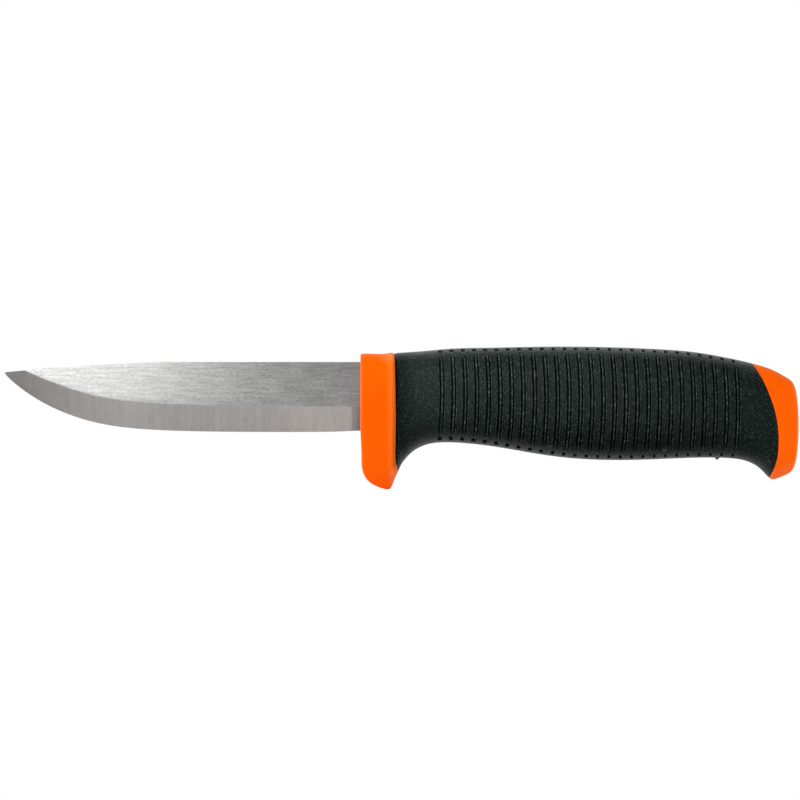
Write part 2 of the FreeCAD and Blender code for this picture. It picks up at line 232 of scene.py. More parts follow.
def shoot(field, centre, points, far=40.0):
    """Moves each point along its ray from centre until it lies on field == 0."""
    ray = points - centre
    ray = ray / np.maximum(np.linalg.norm(ray, axis=1, keepdims=True), 1e-9)
    low, high = np.zeros(len(points)), np.full(len(points), far)
    for _ in range(34):
        middle = 0.5 * (low + high)
        p = centre + ray * middle[:, None]
        outside = field(p[:, 0], p[:, 1], p[:, 2]) > 0
        high = np.where(outside, middle, high)
        low = np.where(outside, low, middle)
    return centre + ray * (0.5 * (low + high))[:, None]


# ------------------------------------------------------------------ handle surface
def section(x):
    """Half width, centre height and half height of the handle at x."""
    top, bottom = top_of(x) + SKIN, bottom_of(x) - SKIN
    return half_w_of(x), 0.5 * (top + bottom), 0.5 * (top - bottom)


def section_point(x, angle):
    """y and z on the handle's section at x; angle 0 is on +Y, 90 degrees at the top."""
    half_w, z_mid, half_h = section(x)
    return (half_w * signed_power(np.cos(angle), 2 / HANDLE_POWER),
            z_mid + half_h * signed_power(np.sin(angle), 2 / HANDLE_POWER))


def section_ratio(x, y, z):
    """1 on the handle's surface, less inside."""
    half_w, z_mid, half_h = section(x)
    return (np.abs(y / half_w) ** HANDLE_POWER
            + np.abs((z - z_mid) / half_h) ** HANDLE_POWER) ** (1 / HANDLE_POWER)


def sunk_ring(x, y, z, depth):
    """Points moved inward from the plain handle surface by depth (an array, one per point)."""
    e, f = 0.02, section_ratio
    normal = np.stack([f(x + e, y, z) - f(x - e, y, z), f(x, y + e, z) - f(x, y - e, z),
                       f(x, y, z + e) - f(x, y, z - e)], -1)
    normal = normal / np.maximum(np.linalg.norm(normal, axis=-1, keepdims=True), 1e-12)
    return np.stack([x, y, z], -1) - normal * depth[:, None]


# degrees from the belly up to the spine: (from, to, step), finer where pits and slot ends sit
ANGLE_SPANS = ((-90, -77, 2.2), (-77, -60, 0.85), (-60, -40, 1.6), (-40, 40, 3.2),
               (40, 64, 1.5), (64, 80, 0.85), (80, 90, 2.0))


def loop_angles():
    """Angles once round the handle, mirrored across the XZ plane."""
    degrees = []
    for start, end, step in ANGLE_SPANS:
        count = max(1, int(round((end - start) / step)))
        degrees += list(np.linspace(start, end, count, endpoint=False))
    half = np.radians(np.array(degrees + [90.0]))
    return np.concatenate([half, np.pi - half[1:-1][::-1]])


# Cross lines run round the handle. Line number q (whole numbers are the slots) meets z = 0 at
# SLOT_X0 + SLOT_PITCH q - SLOT_CROWD q^2, leans a little and bows by SLOT_BOW.
SLOT_COUNT, SLOT_X0, SLOT_PITCH, SLOT_CROWD, SLOT_BOW = 27, 21.0, 3.059, 0.003294, 0.0042
SLOT_LEAN, SLOT_LEAN_DROP = 0.010, 0.0012      # lean of line 0, and its fall per line
LAST_LINE = SLOT_COUNT - 1 + 0.62              # beyond it, lines blend into the cap seam


def line_x(q, z):
    """x at height z of cross line q."""
    lean = SLOT_LEAN - SLOT_LEAN_DROP * np.clip(q, -1.0, 27.5)
    return (SLOT_X0 + SLOT_PITCH * q - SLOT_CROWD * q * q
            + smooth(-3.4, -0.9, q) * (lean * z - SLOT_BOW * z * z))


def line_at(x):
    """The cross line that meets z = 0 at x."""
    root = math.sqrt(SLOT_PITCH * SLOT_PITCH - 4 * SLOT_CROWD * (x - SLOT_X0))
    return (SLOT_PITCH - root) / (2 * SLOT_CROWD)


def handle_ring(q, blend, angles):
    """Plain handle surface along cross line q; blend slides from that line to the cap seam."""
    x = np.full_like(angles, line_x(q, 0.0))
    for _ in range(12):
        _, z = section_point(x, angles)
        x = line_x(q, z)
        if blend > 0:
            x = (1 - blend) * x + blend * seam_of(z)
    y, z = section_point(x, angles)
    return x, y, z


# ------------------------------------------------------------------ mesh tools
def mesh_from_grid(name, rows, tip_first=None, tip_last=None):
    """Skins rows (n, m, 3) of closed loops in mm. Each end closes on a tip or with a flat face."""
    n, m = rows.shape[:2]
    verts = rows.reshape(-1, 3).tolist()
    faces = []
    for i in range(n - 1):
        for j in range(m):
            k = (j + 1) % m
            faces.append((i * m + j, i * m + k, (i + 1) * m + k, (i + 1) * m + j))
    if tip_first is not None:
        tip = len(verts)
        verts.append(list(tip_first))
        faces += [(tip, (j + 1) % m, j) for j in range(m)]
    else:
        faces.append(tuple(range(m - 1, -1, -1)))
    base = (n - 1) * m
    if tip_last is not None:
        tip = len(verts)
        verts.append(list(tip_last))
        faces += [(tip, base + j, base + (j + 1) % m) for j in range(m)]
    else:
        faces.append(tuple(base + j for j in range(m)))
    mesh = bpy.data.meshes.new(name)
    mesh.from_pydata([(x * MM, y * MM, z * MM) for x, y, z in verts], [], faces)
    mesh.validate()
    mesh.update()
    for face in mesh.polygons:
        face.use_smooth = True
    return link_object(name, mesh)


def link_object(name, data):
    obj = bpy.data.objects.new(name, data)
    bpy.context.scene.collection.objects.link(obj)
    return obj


def face_outward(obj):
    """Turns the mesh's faces outward if its volume came out negative."""
    bm = bmesh.new()
    bm.from_mesh(obj.data)
    if bm.calc_volume(signed=True) < 0:
        bmesh.ops.reverse_faces(bm, faces=bm.faces)
        bm.to_mesh(obj.data)
    bm.free()
    obj.data.update()


def weld(obj):
    """Merges coincident points and drops the faces they leave empty."""
    bm = bmesh.new()
    bm.from_mesh(obj.data)
    bmesh.ops.remove_doubles(bm, verts=bm.verts, dist=3e-6)
    bmesh.ops.dissolve_degenerate(bm, edges=bm.edges, dist=1e-6)
    for face in bm.faces:
        face.smooth = True
    bm.to_mesh(obj.data)
    bm.free()
    obj.data.update()


def keep_sharp(obj, degrees):
    """Marks edges sharper than this angle so shading breaks on them."""
    bm = bmesh.new()
    bm.from_mesh(obj.data)
    limit = math.radians(degrees)
    for edge in bm.edges:
        if len(edge.link_faces) == 2:
            edge.smooth = edge.calc_face_angle(0) < limit
    bm.to_mesh(obj.data)
    bm.free()


def register(obj, cad_piece):
    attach(obj, "root")
    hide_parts(cad_piece)


# ------------------------------------------------------------------ node tools
def grey(value):
    return (value, value, value, 1.0)


class Nodes:
    """Fills one node tree. math_rest is put on the inputs of Math nodes past the second."""

    def __init__(self, tree, output_kind, math_rest=()):
        self.tree = tree
        self.math_rest = math_rest
        tree.nodes.clear()
        self.output = self.node(output_kind)

    def node(self, kind, inputs=None, **settings):
        """New node; inputs maps a socket's name or index to a value or to a socket to link."""
        node = self.tree.nodes.new(kind)
        for name, value in settings.items():
            setattr(node, name, value)
        for key, value in (inputs or {}).items():
            if isinstance(value, bpy.types.NodeSocket):
                self.tree.links.new(value, node.inputs[key])
            else:
                node.inputs[key].default_value = value
        return node

    def finish(self, shader):
        self.tree.links.new(shader, self.output.inputs[0])

    def math(self, op, a, b=0.0, clamp=False):
        inputs = dict(enumerate((a, b, *self.math_rest)))
        return self.node("ShaderNodeMath", inputs, operation=op, use_clamp=clamp).outputs[0]

    def plus(self, a, b):
        return self.math("ADD", a, b)

    def minus(self, a, b):
        return self.math("SUBTRACT", a, b)

    def times(self, a, b):
        return self.math("MULTIPLY", a, b)

    def swing(self, noise, amount):
        """Noise centred on zero and scaled."""
        return self.times(self.minus(noise, 0.5), amount)

    def vary(self, value, noise, amount):
        return self.plus(value, self.swing(noise, amount))

    def mix(self, factor, a, b, blend="MIX"):
        node = self.node("ShaderNodeMix", data_type="RGBA", blend_type=blend,
                         inputs={0: factor, 6: a, 7: b})
        return node.outputs[2]

    def mix_shader(self, factor, a, b):
        return self.node("ShaderNodeMixShader", {0: factor, 1: a, 2: b}).outputs[0]

    def ramp(self, factor, *stops, interpolation="LINEAR"):
        """Colour ramp; stops are (position, grey level or colour)."""
        node = self.node("ShaderNodeValToRGB", {0: factor})
        node.color_ramp.interpolation = interpolation
        elements = node.color_ramp.elements
        while len(elements) > 1:
            elements.remove(elements[-1])
        for i, (position, shade) in enumerate(stops):
            element = elements.new(position) if i else elements[0]
            element.position = position
            element.color = shade if isinstance(shade, tuple) else grey(shade)
        return node.outputs[0]

    def smoothstep(self, value, low, high):
        return self.node("ShaderNodeMapRange", {0: value, 1: low, 2: high},
                         interpolation_type="SMOOTHSTEP").outputs[0]

    def split(self, vector):
        return self.node("ShaderNodeSeparateXYZ", {0: vector}).outputs

    def place(self, scale=(1, 1, 1), rot=(0, 0, 0), loc=(0, 0, 0)):
        """Object coordinates in metres, moved and scaled."""
        coords = self.node("ShaderNodeTexCoord").outputs["Object"]
        inputs = {0: coords, "Scale": scale, "Rotation": rot, "Location": loc}
        return self.node("ShaderNodeMapping", inputs).outputs[0]

    def noise(self, vector, scale, detail, rough, distortion=0.0):
        inputs = {"Vector": vector, "Scale": scale, "Detail": detail, "Roughness": rough,
                  "Distortion": distortion}
        return self.node("ShaderNodeTexNoise", inputs).outputs[0]

    def bump(self, height, strength, distance, normal=None):
        inputs = {"Strength": strength, "Distance": distance, "Height": height}
        if normal is not None:
            inputs["Normal"] = normal
        return self.node("ShaderNodeBump", inputs).outputs[0]


def new_material(name):
    material = bpy.data.materials.new(name)
    material.use_nodes = True
    return material, Nodes(material.node_tree, "ShaderNodeOutputMaterial", math_rest=(0.0,))


# ------------------------------------------------------------------ materials
# noise scales (x, y, z) of the fine and the middle scratches, by the way the steel was worked
SCRATCHES = {"x": ((1050, 1500, 4000), (160, 600, 1500)),
             "z": ((3000, 1500, 450), (900, 300, 40))}


def steel(name, along, base, rough, aniso, streak, bump, seed):
    """Worked steel. along: 'x' for rolled and brushed flats, 'z' for a cross-ground bevel."""
    material, k = new_material(name)
    fine_scale, mid_scale = SCRATCHES[along]
    fine_place = k.place(scale=fine_scale, loc=(seed, seed * 2, 0))
    mid_place = k.place(scale=mid_scale, loc=(seed * 3, 0, seed))
    fine = k.noise(fine_place, 1.0, detail=3.0, rough=0.65)
    mid = k.noise(mid_place, 1.0, detail=2.0, rough=0.6)
    blotch = k.noise(k.place(scale=(55, 55, 90), loc=(0, 0, seed * 5)), 1.0,
                     detail=3.0, rough=0.55)
    scratch = k.plus(k.times(fine, 0.62), k.times(mid, 0.38))
    tone = k.vary(k.plus(k.swing(scratch, streak), 1.0), blotch, 0.06)
    if along == "z":
        # painted shade: the bevel is darkened against the guard, standing in for the guard's
        # shadow and its dark reflection in the steel; ramp in cm of x, plus 0.5
        cm = k.times(k.split(k.place())[0], 100.0)
        tone = k.times(tone, k.ramp(k.plus(cm, 0.5),
                                    (0.15, 1), (0.27, 0.96), (0.30, 0.72), (0.5, 0.62)))
    tint = k.node("ShaderNodeCombineColor", {0: tone, 1: tone, 2: tone}).outputs[0]
    # the lobe stretches across the scratches
    tangent = k.node("ShaderNodeCombineXYZ", {0: 0.0 if along == "x" else 1.0,
                                              2: 1.0 if along == "x" else 0.0}).outputs[0]
    shader = k.node("ShaderNodeBsdfPrincipled", {
        "Base Color": k.mix(1.0, base, tint, blend="MULTIPLY"),
        "Metallic": 1.0,
        "Roughness": k.vary(k.vary(rough, scratch, 0.16), blotch, 0.08),
        "Anisotropic": aniso,
        "Tangent": tangent,
        "Normal": k.bump(scratch, bump, 0.02 * MM)})
    k.finish(shader.outputs[0])
    return material


def painted_light_by_place(k, colour, xyz):
    """Painted highlights and shade laid over the moulded plastic by place: guard rims and corners,
    land of the cap.
    """
    cm = k.times(xyz[0], 100.0)      # x in cm from the blade face of the guard
    # painted highlight: the guard's rear rim is made paler
    rim_highlight = k.ramp(cm, (0.66, 0), (0.77, 0.6), (0.83, 0.85), (0.90, 1), (0.96, 0))
    colour = k.mix(rim_highlight, colour, (1.0, 0.158, 0.010, 1))
    # painted shade: both rims are darker, except low down past 4 mm
    low = k.ramp(k.times(xyz[2], -40.0), (0.73, 0), (0.80, 1))
    rim_shade = k.ramp(cm, (0.012, 0), (0.03, 0.55), (0.06, 0.35), (0.11, 0), (0.80, 0), (0.86, 0.7),
                  (0.94, 0.8), (0.97, 0))
    rim_shade = k.times(rim_shade, k.minus(1.0, k.times(low, k.math("GREATER_THAN", cm, 0.4))))
    colour = k.mix(rim_shade, colour, (0.62, 0.115, 0.016, 1))
    # painted highlight on the low rear corner
    heel_highlight = k.times(low, k.ramp(cm, (0.76, 0), (0.84, 0.8), (1.0, 0.8), (1.05, 0)))
    colour = k.mix(heel_highlight, colour, (1.0, 0.22, 0.085, 1))
    # painted highlight on the top, towards the grip
    crown_highlight = k.times(k.ramp(k.times(xyz[2], 50.0), (0.42, 0), (0.51, 0.35), (0.58, 1)),
                    k.ramp(cm, (0.45, 0), (0.72, 0.9), (0.95, 0.9), (1.0, 0)))
    colour = k.mix(crown_highlight, colour, (1.0, 0.27, 0.085, 1))
    # painted highlight on the sloping land under the end cap
    under = k.plus(k.times(xyz[0], -0.455), k.plus(xyz[2], 0.07075))
    under = k.ramp(k.times(under, 200.0), (0.30, 1), (0.56, 0))
    under = k.times(under, k.math("GREATER_THAN", xyz[0], 0.05))
    return k.mix(k.times(under, 0.5), colour, (0.94, 0.19, 0.05, 1))


def plastic(name, tones):
    """Semi-gloss moulded polypropylene with a spark-eroded grain, flow marks and rubbed edges,
    under painted highlights and shade. tones: (height in mm, colour), a base that changes by
    height as painted light."""
    material, k = new_material(name)
    place = k.place()
    grain = k.noise(place, 2600, detail=3.0, rough=0.6)
    wave = k.noise(place, 210, detail=2.0, rough=0.5)
    flow = k.noise(k.place(scale=(40, 60, 160)), 1.0, detail=3.0, rough=0.5, distortion=0.6)
    scuff = k.noise(k.place(scale=(900, 260, 240), rot=(0.4, 0.2, 0.7)), 1.0,
                    detail=4.0, rough=0.7)

    # painted light: base tone changes by height, lighter low down; then flow marks, worn edges
    pointiness = k.node("ShaderNodeNewGeometry").outputs["Pointiness"]
    edge = k.ramp(pointiness, (0.52, 0), (0.60, 1))
    worn = k.math("MULTIPLY", edge, k.plus(0.35, k.times(scuff, 0.8)), clamp=True)
    xyz = k.split(place)
    # the ramp spans 40 mm of height from z = -26 mm
    base = k.ramp(k.times(k.plus(xyz[2], 0.026), 25.0),
                  *[((z + 26.0) / 40.0, colour) for z, colour in tones])
    deep = k.mix(1.0, base, (0.97, 0.92, 0.8, 1), blend="MULTIPLY")
    colour = k.mix(k.times(flow, 0.5), base, deep)
    colour = k.mix(k.times(worn, 0.16), colour, (1.0, 0.17, 0.004, 1))
    # painted highlights and shade by place
    colour = painted_light_by_place(k, colour, xyz)

    # painted shade: the colour turns darker towards the outlines
    facing = k.node("ShaderNodeLayerWeight", {"Blend": 0.5}).outputs["Facing"]
    colour = k.mix(k.ramp(facing, (0.50, 0), (0.72, 0.25), (0.88, 0.7), (1.0, 1)),
                   colour, (0.68, 0.16, 0.045, 1))
    # mirrored in the steel and the rubber beside it, the plastic shows a shaded front
    glossy_ray = k.node("ShaderNodeLightPath").outputs["Is Glossy Ray"]
    colour = k.mix(k.times(glossy_ray, 0.88), colour, (0.13, 0.11, 0.10, 1))

    rough = k.vary(k.vary(0.36, wave, 0.10), scuff, 0.12)
    height = k.plus(k.times(grain, 0.8), k.times(scuff, 0.2))
    normal = k.bump(wave, 0.25, 0.10 * MM, k.bump(height, 0.35, 0.03 * MM))

    # seen square on the skin has its own faint shine; a moulded skin scatters its glancing
    # reflection, so towards the rims a body with no white edge takes over, under a tinted gloss
    shiny, matt = [k.node("ShaderNodeBsdfPrincipled", {
        "Base Color": colour,
        "Roughness": rough,
        "Specular IOR Level": level,
        "Specular Tint": (0.92, 0.42, 0.10, 1),
        "Normal": normal}).outputs[0] for level in (0.15, 0.0)]
    gloss_tint = k.ramp(facing, (0.0, (0.92, 0.42, 0.10, 1)), (0.60, (1.0, 0.47, 0.13, 1)),
                        (0.80, (1.0, 0.63, 0.31, 1)), (1.0, (1.0, 0.76, 0.56, 1)))
    gloss = k.node("ShaderNodeBsdfGlossy",
                   {"Color": gloss_tint, "Roughness": rough, "Normal": normal}).outputs[0]
    gloss_share = k.ramp(facing, (0.0, 0.012), (0.60, 0.016), (0.80, 0.035), (0.92, 0.08),
                         (1.0, 0.25))
    rims = k.mix_shader(gloss_share, matt, gloss)
    k.finish(k.mix_shader(k.ramp(facing, (0.04, 0), (0.18, 1)), shiny, rims))
    return material


def rubber(name, base, light):
    """Soft-touch thermoplastic rubber: fine moulded stipple, dusty bloom, polished high spots with
    painted glints.
    """
    material, k = new_material(name)
    place = k.place()
    cell = k.node("ShaderNodeTexVoronoi", {"Vector": place, "Scale": 2300}).outputs["Distance"]
    fine = k.noise(place, 3000, detail=2.0, rough=0.6)
    mid = k.noise(place, 900, detail=3.0, rough=0.6)
    big = k.noise(place, 70, detail=3.0, rough=0.5)

    pointiness = k.node("ShaderNodeNewGeometry").outputs["Pointiness"]
    edge = k.ramp(pointiness, (0.50, 0), (0.58, 1))
    dust = k.ramp(pointiness, (0.42, 1), (0.49, 0))
    colour = k.mix(k.times(mid, 0.55), base, light)
    colour = k.mix(k.times(k.times(dust, big), 0.25), colour, (0.02, 0.022, 0.021, 1))
    speck = k.ramp(k.noise(place, 2600, detail=1.0, rough=0.5), (0.57, 0), (0.74, 1))
    colour = k.mix(k.times(speck, 0.85), colour, (0.046, 0.060, 0.055, 1))
    # painted highlight: bright dots on the convex lips, where the slots catch the light
    glint = k.ramp(k.noise(place, 1700, detail=1.0, rough=0.5), (0.52, 0), (0.66, 1))
    colour = k.mix(k.times(edge, glint), colour, (0.125, 0.140, 0.133, 1))

    rough = k.minus(k.vary(0.50, mid, 0.16), k.times(edge, 0.10))
    height = k.plus(k.times(cell, 0.6), k.times(fine, 0.5))
    normal = k.bump(big, 0.2, 0.2 * MM, k.bump(height, 1.0, 0.22 * MM))
    # painted shade: less sheen tight against the guard, where the guard shades it, and less
    # towards the end cap; the ramp spans 120 mm of x
    shine = k.ramp(k.times(k.split(place)[0], 1 / 0.12),
                   (0.078, 0.22), (0.094, 0.28), (0.125, 0.66), (0.16, 0.75), (0.22, 0.76),
                   (0.28, 0.60), (0.45, 0.72), (0.60, 0.64), (0.70, 0.58), (0.78, 0.42),
                   (0.86, 0.27), (0.92, 0.22))
    shader = k.node("ShaderNodeBsdfPrincipled", {
        "Base Color": colour,
        "Roughness": rough,
        "IOR": 1.415,
        "Specular IOR Level": k.times(shine, 0.5),
        "Specular Tint": (0.78, 1.0, 0.92, 1),
        "Sheen Weight": 0.02,
        "Sheen Roughness": 0.45,
        "Normal": normal})
    k.finish(shader.outputs[0])
    return material


STEEL_FLAT = steel("steel_flat", along="x", base=(0.455, 0.454, 0.450, 1), rough=0.34,
                   aniso=0.55, streak=2.1, bump=0.25, seed=3.1)
STEEL_BEVEL = steel("steel_bevel", along="z", base=(0.53, 0.508, 0.487, 1), rough=0.32,
                    aniso=0.20, streak=0.72, bump=0.3, seed=7.7)
# the height tones are painted light: the orange is lighter low down
ORANGE = plastic("orange_plastic", tones=[
    (-24, (1.0, 0.124, 0.002, 1)), (-16, (1.0, 0.114, 0.001, 1)), (-6, (1.0, 0.098, 0.0004, 1)),
    (2, (1.0, 0.096, 0.0004, 1)), (10, (1.0, 0.104, 0.0004, 1))])
ORANGE_CAP = plastic("orange_plastic_cap", tones=[
    (-20, (1.0, 0.126, 0.003, 1)), (-14, (1.0, 0.120, 0.002, 1)), (-4, (1.0, 0.112, 0.0006, 1)),
    (6, (1.0, 0.114, 0.001, 1))])
CORE = plastic("core_plastic", tones=[(-20, (0.9, 0.11, 0.01, 1)), (8, (0.88, 0.105, 0.01, 1))])
RUBBER = rubber("grip_rubber", base=(0.0012, 0.0050, 0.0038, 1), light=(0.0026, 0.0068, 0.0055, 1))

# ------------------------------------------------------------------ blade
BLADE_HALF_T = 3.0 / 2
EDGE_HALF_T = 0.03                       # half thickness left at the cutting edge
SPINE_ROUND = 0.07                       # radius of the spine's corners
SOFT = 0.06                              # half height of the softened line above the bevel
SPINE_LEVEL_X, SPINE_LEVEL_Z = -50.5, 9.17     # the spine is level from here to the guard
# stations along the blade: (from x, to x, count); only the last span includes its end
BLADE_SPANS = ((-93.3, -91.0, 12), (-91.0, -86.0, 16), (-86.0, -55.0, 62), (-55.0, -2.0, 54),
               (-2.0, 4.8, 8))


def blade_ring(x):
    """One closed section: up the +Y side from the edge to the spine, then down the -Y side."""
    z_edge, z_bevel = float(edge_of(x)), float(bevel_of(x))
    z_spine = float(spine_of(x)) if x < SPINE_LEVEL_X else SPINE_LEVEL_Z

    def half_t(z):
        rise = (BLADE_HALF_T - EDGE_HALF_T) * (z - z_edge) / (z_bevel - z_edge)
        return min(BLADE_HALF_T, EDGE_HALF_T + rise)

    spine_t = half_t(z_spine)
    radius = min(SPINE_ROUND, 0.45 * spine_t, 0.2 * (z_spine - z_edge))
    z_turn = min(z_bevel, z_spine - radius)
    bevel_h = z_turn - z_edge
    flat_h = z_spine - radius - z_turn
    soft = min(SOFT, 0.3 * flat_h)
    heights = [z_edge + min(0.16, 0.2 * bevel_h)]
    heights += [z_edge + f * bevel_h for f in (0.10, 0.25, 0.4, 0.55, 0.7, 0.85)]
    heights += [z_turn - min(SOFT, 0.06 * bevel_h), z_turn + soft]
    heights += [z_turn + soft + f * (flat_h - 2 * soft) for f in (0.12, 0.3, 0.5, 0.7, 0.88)]
    heights.append(z_spine - radius)
    side = [(EDGE_HALF_T, z_edge)] + [(half_t(z), z) for z in heights]
    for degrees in (25, 50, 72):
        a = math.radians(degrees)
        side.append((spine_t - radius * (1 - math.cos(a)), z_spine - radius * (1 - math.sin(a))))
    side.append((spine_t - radius, z_spine))
    side.append((0.4 * (spine_t - radius), z_spine + 0.004))
    return [(x, y, z) for y, z in side] + [(x, -y, z) for y, z in reversed(side)]


def build_blade():
    last = len(BLADE_SPANS) - 1
    stations = np.concatenate([np.linspace(start, end, count, endpoint=i == last)
                               for i, (start, end, count) in enumerate(BLADE_SPANS)])
    obj = mesh_from_grid("blade_steel", np.array([blade_ring(x) for x in stations], float))
    weld(obj)
    face_outward(obj)
    obj.data.materials.append(STEEL_FLAT)
    obj.data.materials.append(STEEL_BEVEL)
    for face in obj.data.polygons:
        centre = face.center / MM
        on_bevel = face.normal.z < -0.06 and centre.z < float(bevel_of(centre.x)) + 0.02
        face.material_index = 1 if on_bevel else 0
    keep_sharp(obj, 9)
    register(obj, "blade")


# ------------------------------------------------------------------ guard
GUARD_DEPTH = 9.2
GUARD_CENTRE = np.array([4.6, 0.0, -5.0])      # rays to the surface start here
# rings on the blade face, along the side, and on the grip face; face rings by share of full size
GUARD_FRONT_RINGS = (0.12, 0.28, 0.44, 0.58, 0.70, 0.80, 0.88, 0.935, 0.965, 0.985)
GUARD_SIDE_X = (0.0, 0.18, 0.36, 0.56, 0.8, 1.2, 1.8, 2.6, 3.5, 4.6, 5.7, 6.6, 7.2, 7.6, 7.9,
                8.15, 8.4, 8.62, 8.82, 9.0, GUARD_DEPTH)
GUARD_REAR_RINGS = (0.985, 0.965, 0.94, 0.91, 0.87, 0.80, 0.70, 0.58, 0.44, 0.28, 0.12)


def guard_section():
    """Guard outline across the knife, (y, z): a boxier top half and a rounder lower half."""
    points = []
    for i in range(240):
        angle = 2 * math.pi * i / 240
        c, s = math.cos(angle), math.sin(angle)
        if s >= 0:
            power, height = 2.6, GUARD_TOP - GUARD_MID
        else:
            power, height = 2.2, GUARD_MID - GUARD_BOTTOM
        points.append((GUARD_HALF_W * math.copysign(abs(c) ** (2 / power), c),
                       GUARD_MID + height * math.copysign(abs(s) ** (2 / power), s)))
    return points


def build_guard():
    outline = guard_section()
    across = Field(outline, (-13, -27), (13, 14))
    side = Field(chain(GUARD_SIDE, 0.3), (-3, -27), (13, 14))

    def field(x, y, z):
        rounding = 0.55 + 0.75 * np.clip(x / GUARD_DEPTH, 0, 1)
        lift = crest_of(np.clip(x, -1.0, 10.0)) * smooth(0.0, 8.0, z)
        return smooth_max(across(y, z - lift), side(x, z), rounding)

    z_mid = GUARD_CENTRE[2]
    rings = ([(0.0, share) for share in GUARD_FRONT_RINGS] + [(x, None) for x in GUARD_SIDE_X]
             + [(GUARD_DEPTH, share) for share in GUARD_REAR_RINGS])
    rows = []
    for x, share in rings:
        if share is None:
            rows.append([(x, y, z) for y, z in outline[::2]])
        else:
            rows.append([(x, share * y, z_mid + share * (z - z_mid)) for y, z in outline[::2]])
    rows = np.array(rows, float)
    rows = shoot(field, GUARD_CENTRE, rows.reshape(-1, 3)).reshape(rows.shape)
    tips = shoot(field, GUARD_CENTRE, np.array([[0.0, 0, z_mid], [GUARD_DEPTH, 0, z_mid]]))
    obj = mesh_from_grid("guard_shell", rows, tip_first=tips[0], tip_last=tips[1])
    face_outward(obj)
    obj.data.materials.append(ORANGE)
    register(obj, "guard")


# ------------------------------------------------------------------ grip
GROOVE = 0.55            # depth of the joint line between guard and grip
GROOVE_SHALLOW = 0.12    # its depth at top and bottom
# rings at the guard end: (x, inset)
GRIP_START = ((8.6, 2.4), (8.6, GROOVE), (9.0, GROOVE), (9.36, GROOVE), (9.46, GROOVE),
              (9.495, 0.9 * GROOVE), (9.505, 0.20), (9.525, 0.10), (9.56, 0.045),
              (9.62, 0.015), (9.71, 0.0))
# slot section: (mm past the slot's first line, depth). A deep line, a low band, a fine line,
# a lip
SLOT_SECTION = [(-0.42, 0.0), (-0.30, 0.0), (-0.245, 0.05), (-0.215, 0.20), (-0.19, 0.56),
                (-0.06, 0.66), (0.14, 0.70), (0.25, 0.60), (0.29, 0.24), (0.35, 0.10),
                (0.48, 0.05), (0.62, 0.06), (0.71, 0.15), (0.74, 0.50), (0.81, 0.68),
                (0.98, 0.68), (1.05, 0.50), (1.085, 0.14), (1.13, 0.0), (1.20, -0.04),
                (1.30, -0.01), (1.42, 0.0)]
SLOT_GAP = [(1.60, 0.0), (1.85, 0.0), (2.08, 0.0), (2.30, 0.0)]      # plain rings up to the next
# rings at the cap end: (blend to the seam, inset)
GRIP_END = ([(blend, 0.0) for blend in (1e-6, 0.06, 0.13, 0.21, 0.30, 0.40, 0.50, 0.60, 0.70,
                                        0.79, 0.87, 0.93, 0.965, 0.982)]
            + [(0.990, 0.012), (0.9955, 0.04), (0.9985, 0.09), (0.9997, 0.16), (1.0, 0.26),
               (1.0, 0.8), (1.0, 2.2)])
# a rounded pit past each end of every slot
PIT_DEPTH, PIT_HALF_X, PIT_HALF_Y = 0.62, 0.66, 1.08
PIT_TOP_Y, PIT_LOW_Y = 4.7, 5.4
PIT_TOP_X0, PIT_TOP_PITCH = 20.93, 2.9475
PIT_LOW_X0, PIT_LOW_PITCH = 20.78, 2.942
NUB_X, NUB_HEIGHT = 93.45, 0.52          # moulding nub on the belly


def grip_rings():
    """(cross line, blend to the seam, inset, slot number or -1, slot depth) for every ring."""
    rings = [(line_at(x), 0.0, inset, -1, 0.0) for x, inset in GRIP_START]
    rings += [(line_at(x), 0.0, 0.0, -1, 0.0) for x in np.linspace(10.1, SLOT_X0 - 0.75, 22)]
    for slot in range(SLOT_COUNT):
        pitch = SLOT_PITCH - 2 * SLOT_CROWD * slot
        shape = SLOT_SECTION + (SLOT_GAP if slot < SLOT_COUNT - 1 else [])
        rings += [(slot + past / pitch, 0.0, 0.0, slot, depth) for past, depth in shape]
    return rings + [(LAST_LINE, blend, inset, -1, 0.0) for blend, inset in GRIP_END]


def slot_depth(x, y, z, slot, cut):
    """Depth of a slot's ring, faded out above and below, with the pits at its ends."""
    from_top, from_bottom = top_of(x) + SKIN - z, z - (bottom_of(x) - SKIN)
    depth = cut * smooth(1.5, 3.0, from_top) * smooth(1.9, 3.9, from_bottom)
    upper = z > section(x)[1]
    top_y = PIT_TOP_Y - 0.6 * max(0.0, 1 - slot / 12.0)
    for here, pit_y, x0, pitch in ((upper, top_y, PIT_TOP_X0, PIT_TOP_PITCH),
                                   (~upper, PIT_LOW_Y, PIT_LOW_X0, PIT_LOW_PITCH)):
        reach = (np.abs((x - (x0 + pitch * slot)) / PIT_HALF_X) ** 3
                 + np.abs((np.abs(y) - pit_y) / PIT_HALF_Y) ** 3) ** (1 / 3)
        depth += PIT_DEPTH * here * (1 - smooth(0.66, 1.0, reach))
    return depth


